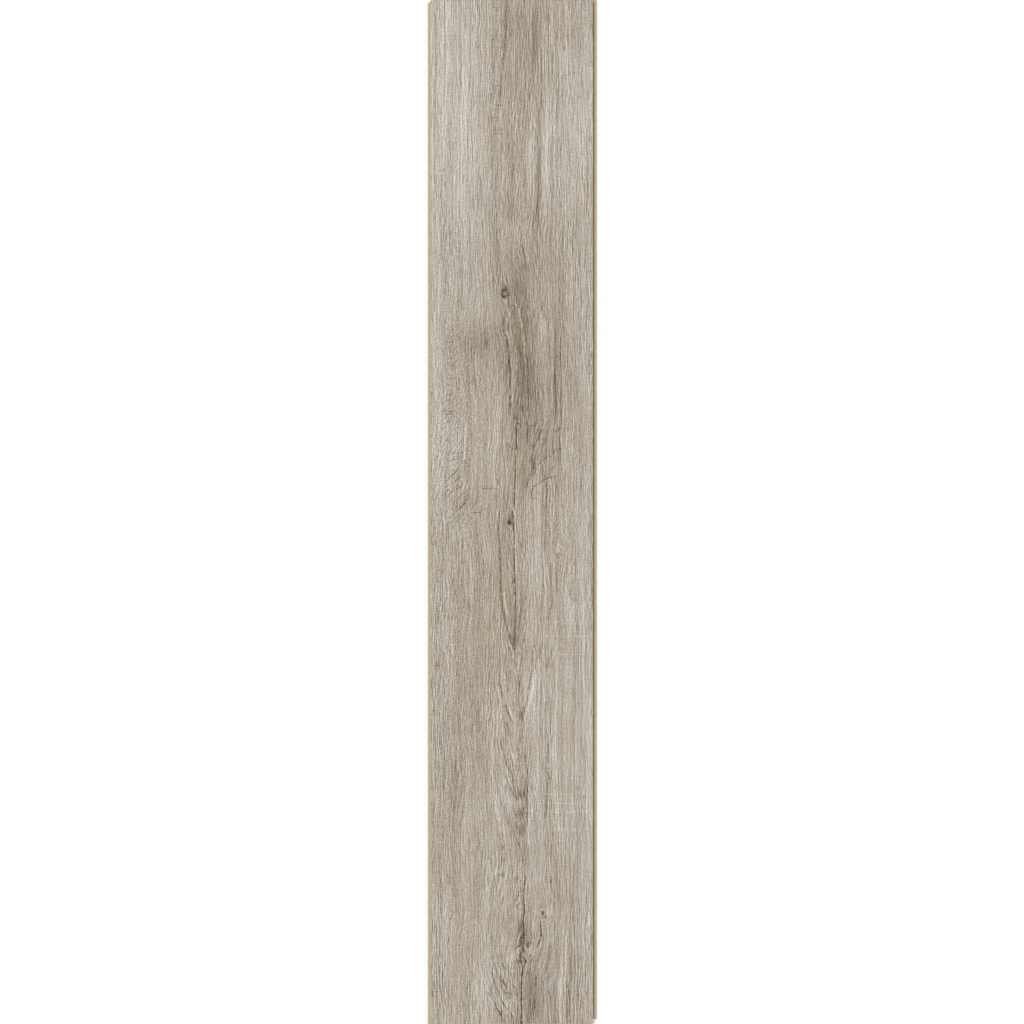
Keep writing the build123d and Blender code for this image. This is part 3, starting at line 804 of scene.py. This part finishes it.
face_numbers = {
    "grain": (across, y, side),
    "arches": (arch_across, y, side),
    "marks": (spots, shade, warmth),
    "textures": (stripes, slants, rays),
    "shares": (arch_share, np.minimum(shorts, 1), 1 + lively),
}
for number, layer in enumerate(line_layers):
    face_numbers[f"lines_{number}"] = (layer["distance"], layer["levels"])
for name, parts in face_numbers.items():
    write_numbers(name, *parts)
line_names = [name for name in face_numbers if name.startswith("lines_")]
print("stored on the face:", ", ".join(face_numbers))

# %% [markdown]
# A Blender material is a chain of small nodes. These helpers add one node each and hand back
# its output, so that a finish further down reads like a recipe. Colours are written as a
# paint shop gives them, from 0 to 255, and turned into the light values that Blender uses.

# %% Make helpers for the finishes


def paint(red, green, blue):
    """A colour given in 0 to 255, as light values with full opacity."""
    levels = np.array([red, green, blue]) / 255
    light = np.where(levels > 0.04045, ((levels + 0.055) / 1.055) ** 2.4, levels / 12.92)
    return (*light.tolist(), 1.0)


def put(tree, value, socket):
    """Links another node's output to the socket, or sets the socket to a plain value."""
    if isinstance(value, bpy.types.NodeSocket):
        tree.links.new(value, socket)
    else:
        socket.default_value = value


def calc(tree, operation, *values, clamp=False):
    """One sum on numbers, such as ADD or MULTIPLY."""
    step = tree.nodes.new("ShaderNodeMath")
    step.operation = operation
    step.use_clamp = clamp
    for value, socket in zip(values, step.inputs):
        put(tree, value, socket)
    return step.outputs[0]


def times(tree, first, second):
    """One value times another."""
    return calc(tree, "MULTIPLY", first, second)


def total(tree, *values):
    """All the values added up."""
    result = values[0]
    for value in values[1:]:
        result = calc(tree, "ADD", result, value)
    return result


def ease(tree, value, low, high, to_low=0.0, to_high=1.0):
    """The value's climb from low to high, smoothly, as a number from to_low to to_high."""
    step = tree.nodes.new("ShaderNodeMapRange")
    step.interpolation_type = "SMOOTHSTEP"
    for socket, number in zip(step.inputs, (value, low, high, to_low, to_high)):
        put(tree, number, socket)
    return step.outputs[0]


def stored(tree, name):
    """What the face's points hold under this name, whole and as three numbers."""
    reader = tree.nodes.new("ShaderNodeAttribute")
    reader.attribute_name = name
    split = tree.nodes.new("ShaderNodeSeparateXYZ")
    tree.links.new(reader.outputs["Vector"], split.inputs[0])
    return reader.outputs["Vector"], split.outputs


def place_in_mm(tree):
    """Where a point of the board lies, in mm."""
    place = tree.nodes.new("ShaderNodeNewGeometry").outputs["Position"]
    in_mm = tree.nodes.new("ShaderNodeVectorMath")
    in_mm.operation = "SCALE"
    in_mm.inputs["Scale"].default_value = 1 / mm
    tree.links.new(place, in_mm.inputs[0])
    return in_mm.outputs[0]


def streaks(tree, field, width, length, seed, detail=0.0, shift=0.0, turn=0.0, depth=1.0):
    """Noise about -0.5 to 0.5, with streaks of that width and length in mm, turned by an angle."""
    stretch = tree.nodes.new("ShaderNodeMapping")
    stretch.vector_type = "TEXTURE"
    stretch.inputs["Scale"].default_value = (width, length, depth)
    stretch.inputs["Rotation"].default_value = (0, 0, turn)
    stretch.inputs["Location"].default_value = (seed * 73.1 + shift, seed * 31.7, seed * 17.3)
    tree.links.new(field, stretch.inputs["Vector"])
    noise = tree.nodes.new("ShaderNodeTexNoise")
    noise.inputs["Scale"].default_value = 1.0
    noise.inputs["Detail"].default_value = detail
    noise.inputs["Roughness"].default_value = 0.6
    tree.links.new(stretch.outputs[0], noise.inputs["Vector"])
    return calc(tree, "SUBTRACT", noise.outputs[0], 0.5)


def colour_scale(tree, value, stops):
    """A colour from a scale of (place, colour) stops."""
    ramp = tree.nodes.new("ShaderNodeValToRGB")
    ramp.color_ramp.elements[0].position = 0.0
    ramp.color_ramp.elements[1].position = 1.0
    for place, _ in stops[1:-1]:
        ramp.color_ramp.elements.new(place)
    for element, (place, colour) in zip(ramp.color_ramp.elements, stops):
        element.position = place
        element.color = colour
    tree.links.new(value, ramp.inputs[0])
    return ramp.outputs[0]


def emboss(tree, height, depth, shader):
    """Bumps of that depth in metres where the height is 1."""
    bump = tree.nodes.new("ShaderNodeBump")
    bump.inputs["Distance"].default_value = depth
    tree.links.new(height, bump.inputs["Height"])
    tree.links.new(bump.outputs[0], shader.inputs["Normal"])


def new_finish(name):
    """An empty material, its node tree and its main shader."""
    finish = bpy.data.materials.new(name)
    finish.use_nodes = True
    return finish, finish.node_tree, finish.node_tree.nodes["Principled BSDF"]


# %% [markdown]
# The decor print is built up like the real one: broad bands, then fibres, then the dark
# pores. Each pore has a painted highlight along its right side: the plate that pressed the
# face left a tiny furrow there, and this pale line in the colour stands for light from the left
# on its wall. Every layer is worked out twice, once in the straight fibres and once in the
# arches, and the stored share picks between them. All layers are added up as grey levels of one
# tone. One colour scale then turns that tone into the greige of the print, so light and dark always
# belong together.

# %% Print the fibres
decor, tree, shader = new_finish("oak_decor")
grain, _ = stored(tree, "grain")
arches, _ = stored(tree, "arches")
_, (spot_levels, shade_levels, warm_share) = stored(tree, "marks")
_, (stripe_share, slant_share, ray_share) = stored(tree, "textures")
_, (arch_here, short_here, lively_here) = stored(tree, "shares")
place = place_in_mm(tree)
noise_spread = 0.12  # how far such noise usually strays from its middle


def layer_of(width, length, seed, **how):
    """Streaks that follow the straight fibres or the arches, whichever show here."""
    straight = streaks(tree, grain, width, length, seed, **how)
    curved = streaks(tree, arches, width, length, seed + 30, **how)
    return calc(tree, "MULTIPLY_ADD", arch_here, calc(tree, "SUBTRACT", curved, straight), straight)


def in_levels(noise, levels):
    """The noise scaled so that it usually strays by that many grey levels."""
    return times(tree, noise, levels / noise_spread)


painted_highlight_gap = 1.1  # mm from a dark fibre or pore to the painted highlight beside it
painted_highlight_share = 0.8  # how pale that painted highlight is, against how dark the fibre is


def with_painted_highlight(field, width, length, seed, turn=0.0):
    """Streaks, each with a painted highlight along its right side: a fainter opposite streak."""
    dark = streaks(tree, field, width, length, seed, turn=turn)
    beside = streaks(tree, field, width, length, seed, turn=turn, shift=painted_highlight_gap)
    return calc(tree, "SUBTRACT", times(tree, beside, painted_highlight_share), dark)


broad = in_levels(layer_of(width=10, length=190, seed=1), levels=4.0)
patches = in_levels(layer_of(width=16, length=36, seed=2, detail=1.0), levels=3.2)
bands = in_levels(layer_of(width=3.2, length=120, seed=3, detail=1.0), levels=3.0)
fibres = in_levels(layer_of(width=2.3, length=26, seed=4), levels=3.0)
fine_fibres_and_highlights = in_levels(with_painted_highlight(grain, width=1.1, length=12, seed=5), levels=10.5)
specks = in_levels(streaks(tree, place, width=1.05, length=1.5, seed=6), levels=10.0)
print("nodes for the fibres:", len(tree.nodes))

# %% [markdown]
# Pores are the dark ends of an oak's water vessels. Only the highest peaks of a noise become
# pores, so they lie scattered. Where the fibres are short and pebbled, the long fine ones fade,
# and the fine grain as a whole is livelier in some parts of the board than in others.

# %% Add the pores and the short fibres
pore_size = {"width": 1.1, "length": 11.0, "seed": 7}
pore_start, pore_full = 0.12, 0.22
dark_pores = ease(tree, streaks(tree, grain, **pore_size), pore_start, pore_full)
# Each pore gets a painted highlight along its right side, the lit wall of its furrow
painted_pore_highlights = ease(tree, streaks(tree, grain, **pore_size, shift=painted_highlight_gap), pore_start, pore_full)
painted_highlight_levels, pore_levels = 8.0, -26.0
pore_tone = total(tree, times(tree, painted_pore_highlights, painted_highlight_levels), times(tree, dark_pores, pore_levels))
power_drift, short_loss = 1.3, -0.6  # how much the grain's strength varies, and fades where short
power_noise = streaks(tree, place, width=22, length=70, seed=14)
grain_power = calc(tree, "MULTIPLY_ADD", power_noise, power_drift, 1.0)
long_power = times(tree, grain_power, calc(tree, "MULTIPLY_ADD", short_here, short_loss, 1.0))
short_turn = radians(-24)
# Short slanting fibres, each with a painted highlight along its right side
short_fibres_and_highlights = in_levels(with_painted_highlight(place, width=1.3, length=3.6, seed=15, turn=short_turn), levels=8.0)
short_tone = times(tree, short_fibres_and_highlights, short_here)
long_tone = times(tree, long_power, total(tree, fine_fibres_and_highlights, pore_tone))
fine_tone = times(tree, total(tree, long_tone, specks, short_tone), lively_here)
stripe_everywhere, stripe_extra = 4.4, 8.5  # levels, on the whole board and where a mask shows them
stripes_drawn = in_levels(streaks(tree, grain, width=1.5, length=170, seed=8), levels=1.0)
stripe_levels = calc(tree, "MULTIPLY_ADD", stripe_share, stripe_extra, stripe_everywhere)
stripe_tone = times(tree, stripes_drawn, stripe_levels)
print("nodes for fibres and pores:", len(tree.nodes))

# %% [markdown]
# The strokes come next. The stored distance is counted in half widths, so one recipe serves
# thick and thin strokes: dark within one, faded out at one and a half, and a painted highlight
# a little past two on the lit side. Noise makes their edges ragged and lets them break off.

# %% Draw the strokes, slants and rays
slant = radians(-45)
raggedness = 1.7  # half widths for each unit of noise
ragged = times(tree, streaks(tree, place, width=1.8, length=2.6, seed=9), raggedness)
breaks = streaks(tree, place, width=1.8, length=5, seed=10)
break_gain, least_ink = 2.8, 0.25  # a stroke varies this strongly, and never fades past the second
broken = calc(tree, "MAXIMUM", calc(tree, "MULTIPLY_ADD", breaks, break_gain, 1.0), least_ink)
thin_line_gain = 1.2  # so thin a line looks this much paler in a photograph of the whole plank
# In half widths: where the core fades, where the painted highlight beside it lies, and where that fades
core_fade, lit_place, lit_fade = (0.4, 1.55), 2.2, (0.2, 1.2)
# How pale the painted highlight beside a stroke is, against its dark core
lit_strength = 0.25


def drawn_line(name):
    """The tone of one layer of strokes: the dark core, and a painted highlight beside it on the lit side.
    """
    _, (distance, levels, _) = stored(tree, name)
    away = calc(tree, "ADD", distance, ragged)
    core = ease(tree, calc(tree, "ABSOLUTE", away), *core_fade, 1.0, 0.0)
    beside = calc(tree, "ABSOLUTE", calc(tree, "SUBTRACT", away, lit_place))
    stroke_highlight = ease(tree, beside, *lit_fade, lit_strength, 0.0)
    mix = calc(tree, "SUBTRACT", stroke_highlight, times(tree, core, broken))
    return times(tree, times(tree, mix, levels), thin_line_gain)


lines = total(tree, *[drawn_line(name) for name in line_names])
slanting = in_levels(streaks(tree, place, width=1.1, length=11, seed=11, turn=slant), levels=6.0)
slant_tone = times(tree, slant_share, slanting)
shimmer = in_levels(streaks(tree, place, width=24, length=1.8, seed=12, detail=1.0), levels=3.2)
ray_tone = times(tree, ray_share, shimmer)
print("nodes with the strokes:", len(tree.nodes))

# %% [markdown]
# The colour scale goes from the near black of a crack to the palest fibre. Some parts of the
# board are a touch warmer or cooler than their tone alone would make them, so a weak tint is
# multiplied in last.

# %% Colour the print
middle_tone = 169.4
tone = total(tree, middle_tone, shade_levels, spot_levels, broad, patches, bands, fibres, fine_tone,
             stripe_tone, lines, slant_tone, ray_tone)
darkest, palest = 40.0, 222.0
above_darkest = calc(tree, "SUBTRACT", tone, darkest)
place_on_scale = calc(tree, "DIVIDE", above_darkest, palest - darkest, clamp=True)
tones = [
    (40, paint(42, 33, 23)), (60, paint(66, 55, 41)), (90, paint(99, 87, 69)),
    (124, paint(134, 121, 103)), (141, paint(151, 138, 120)), (159, paint(168, 156, 140)),
    (170, paint(178, 167, 153)), (179, paint(186, 176, 163)), (192, paint(197, 189, 177)),
    (201, paint(205, 198, 187)), (222, paint(222, 218, 210)),
]
stops = [((level - darkest) / (palest - darkest), colour) for level, colour in tones]
print_colour = colour_scale(tree, place_on_scale, stops)
hue_noise = times(tree, layer_of(width=2.6, length=90, seed=13), 1.3)
tint_place = calc(tree, "MULTIPLY_ADD", calc(tree, "ADD", warm_share, hue_noise), 0.5, 0.5, clamp=True)
tints = [(0.0, (0.98, 1.0, 1.03, 1)), (0.5, (1, 1, 1, 1)), (1.0, (1.03, 0.99, 0.93, 1))]
tint = colour_scale(tree, tint_place, tints)
tinted = tree.nodes.new("ShaderNodeMix")
tinted.data_type = "RGBA"
tinted.blend_type = "MULTIPLY"
tinted.inputs["Factor"].default_value = 1.0
tree.links.new(print_colour, tinted.inputs["A"])
tree.links.new(tint, tinted.inputs["B"])
tree.links.new(tinted.outputs["Result"], shader.inputs["Base Color"])
print("nodes of the decor:", len(tree.nodes))

# %% [markdown]
# The clear sheet over the print is matt, and pressed with the pores and the finer fibres. They
# are too fine for the grid, so they are bumps: nearly a tenth of a millimetre for a pore.

# %% Give the decor its matt, pressed surface
sheet_roughness, roughness_drift = 0.52, 0.003
roughness = calc(tree, "MULTIPLY_ADD", fibres, roughness_drift, sheet_roughness)
tree.links.new(roughness, shader.inputs["Roughness"])
fibre_rise, pore_drop = 0.012, -0.8  # shares of the full emboss, for one grey level and for a pore
furrows = total(tree, times(tree, fine_fibres_and_highlights, fibre_rise), times(tree, dark_pores, pore_drop))
emboss(tree, furrows, 0.0001, shader)

# %% [markdown]
# The milled edges are bare fibreboard: pale wood fibres pressed so hard that they cut clean. A
# thin darker line of resin-soaked paper shows at the top and another at the bottom. The
# height above the floor is all that the material needs to know to draw those.

# %% Finish the milled fibreboard
fibreboard, tree, shader = new_finish("milled_fibreboard")
position = place_in_mm(tree)
parts = tree.nodes.new("ShaderNodeSeparateXYZ")
tree.links.new(position, parts.inputs[0])
height = parts.outputs[2]
coarse = streaks(tree, position, width=1.4, length=1.4, seed=1, detail=3.0)
dust = streaks(tree, position, width=0.3, length=0.3, seed=2, detail=2.0, depth=0.25)
grains = total(tree, coarse, times(tree, dust, 0.8))
fibre_tone = calc(tree, "MULTIPLY_ADD", grains, 1.1, 0.5, clamp=True)
fibre_colour = colour_scale(tree, fibre_tone, [
    (0.0, paint(160, 141, 113)), (0.5, paint(198, 181, 153)), (1.0, paint(220, 206, 183)),
])
board_height = 8.0
paper_from, paper_full = 0.26, 0.20  # mm from the face or the underside, where the paper shows
print_line = ease(tree, height, board_height - paper_from, board_height - paper_full)
back_line = ease(tree, height, paper_from, paper_full)
paper_share = calc(tree, "MAXIMUM", print_line, back_line)
edge_mix = tree.nodes.new("ShaderNodeMix")
edge_mix.data_type = "RGBA"
tree.links.new(paper_share, edge_mix.inputs["Factor"])
tree.links.new(fibre_colour, edge_mix.inputs["A"])
edge_mix.inputs["B"].default_value = paint(150, 138, 120)
tree.links.new(edge_mix.outputs["Result"], shader.inputs["Base Color"])
board_roughness, dust_drift = 0.82, 0.2
tree.links.new(calc(tree, "MULTIPLY_ADD", dust, dust_drift, board_roughness), shader.inputs["Roughness"])
emboss(tree, total(tree, coarse, dust), 0.00008, shader)

# %% [markdown]
# The underside is a sheet of plain resin paper that keeps the board flat. It is greyer than
# the fibreboard, slightly cloudy, and has the faint weave of the press cloth.

# %% Finish the backing sheet
backing, tree, shader = new_finish("backing_sheet")
position = place_in_mm(tree)
clouds = streaks(tree, position, width=26, length=40, seed=3, detail=3.0)
paper_fibres = streaks(tree, position, width=0.7, length=5, seed=4, detail=2.0)
paper_tone = total(tree, clouds, times(tree, paper_fibres, 0.6))
paper_place = calc(tree, "MULTIPLY_ADD", paper_tone, 0.9, 0.5, clamp=True)
paper_stops = [(0.0, paint(168, 156, 134)), (1.0, paint(204, 194, 174))]
paper_colour = colour_scale(tree, paper_place, paper_stops)
tree.links.new(paper_colour, shader.inputs["Base Color"])
paper_roughness, paper_drift = 0.62, 0.25
roughness = calc(tree, "MULTIPLY_ADD", paper_fibres, paper_drift, paper_roughness)
tree.links.new(roughness, shader.inputs["Roughness"])
emboss(tree, paper_fibres, 0.00004, shader)

# %% [markdown]
# Each face of the board now gets one of the three finishes. The grid is the decor, what faces
# straight down at the very bottom is the backing, and the rest was cut by the mill.

# %% Put the finishes on the board
for finish in (decor, fibreboard, backing):
    board_mesh.materials.append(finish)
decor_points = set(order.ravel().tolist())
for polygon in board_mesh.polygons:
    if polygon.normal.z > level_enough and decor_points.issuperset(polygon.vertices):
        polygon.material_index = 0
    elif polygon.normal.z < -level_enough and polygon.center.z < tiny:
        polygon.material_index = 2
    else:
        polygon.material_index = 1
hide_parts("laminate_plank")
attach(plank_board, "root")
uses = [p.material_index for p in board_mesh.polygons]
print("faces of decor, fibreboard, backing:", [uses.count(k) for k in range(3)])

# %% [markdown]
# The studio is a pale floor under a soft white room. A colour looks as it was written when
# the light that reaches a flat face adds up to one: here a bit more than half comes from the
# room and the rest from a wide, soft lamp on the left, which picks out the furrows. The
# background is white to the camera only, so it does not have to be lit brighter.

# %% Light the studio
scene = bpy.context.scene
scene.view_settings.view_transform = "Standard"
room_light = 0.50
lamp_share = 0.42
lamp_height_angle = 70.0
lamp_turn = 20.0  # degrees that the lamp stands towards the plank's upper end
lamp_softness = 24.0  # degrees across, as seen from the plank


def white_to_camera(tree):
    """1 for what the camera sees directly or in a reflection, 0 for light that falls on the object."""
    path = tree.nodes.new("ShaderNodeLightPath")
    seen = calc(tree, "MAXIMUM", path.outputs["Is Camera Ray"], path.outputs["Is Glossy Ray"])
    return calc(tree, "MAXIMUM", seen, path.outputs["Is Transmission Ray"])


world = bpy.data.worlds.new("studio_room")
scene.world = world
world.use_nodes = True
tree = world.node_tree
room = tree.nodes["Background"]
room.inputs["Color"].default_value = (1, 1, 1, 1)
strength = calc(tree, "MULTIPLY_ADD", white_to_camera(tree), 1 - room_light, room_light)
tree.links.new(strength, room.inputs["Strength"])

lamp = bpy.data.lights.new("soft_lamp", "SUN")
lamp.angle = radians(lamp_softness)
lamp.energy = lamp_share * np.pi / np.sin(radians(lamp_height_angle))
lamp_stand = bpy.data.objects.new("soft_lamp", lamp)
lamp_stand.rotation_euler = (0, -radians(90 - lamp_height_angle), -radians(lamp_turn))
scene.collection.objects.link(lamp_stand)
print("lamp energy:", round(lamp.energy, 2))

# %% [markdown]
# The floor is a plain pale sheet just below the board. It has no shine, so it takes the board's
# soft shadow and nothing else, and a faint glow towards the camera lifts it to white.

# %% Lay the pale floor
floor_size = 8.0
floor_gap = 0.0002  # m below the underside, so that the two don't lie in one plane
floor_grey = 0.93
floor_mesh = bpy.data.meshes.new("pale_floor")
half = floor_size / 2
floor_corners = [(-half, -half, 0), (half, -half, 0), (half, half, 0), (-half, half, 0)]
floor_mesh.from_pydata(floor_corners, [], [(0, 1, 2, 3)])
pale_floor = bpy.data.objects.new("pale_floor", floor_mesh)
pale_floor.location.z = -floor_gap
scene.collection.objects.link(pale_floor)
floor_finish, tree, shader = new_finish("pale_floor")
shader.inputs["Base Color"].default_value = (floor_grey, floor_grey, floor_grey, 1)
shader.inputs["Roughness"].default_value = 1.0
shader.inputs["Specular IOR Level"].default_value = 0.0
shader.inputs["Emission Color"].default_value = (1, 1, 1, 1)
glow = 0.16
tree.links.new(times(tree, white_to_camera(tree), glow), shader.inputs["Emission Strength"])
floor_mesh.materials.append(floor_finish)

# %% [markdown]
# The photograph was taken from straight above, and the plank fills its height. The camera
# looks straight down with a long lens, at the height from which 1200 mm just fill the frame.

# %% Hang the camera over the plank
lens = 85.0
film = 36.0
plank_offset = 0.00028  # m, how far left of the picture's middle the plank lies
camera_height = face_length * mm * lens / film
camera_data = bpy.data.cameras.new("camera")
camera_data.lens = lens
camera_data.sensor_width = film
camera_data.clip_end = 30
camera = bpy.data.objects.new("camera", camera_data)
camera.location = (plank_offset, 0, face_height + camera_height)
scene.collection.objects.link(camera)
scene.camera = camera
print("camera height, m:", round(camera.location.z, 3))
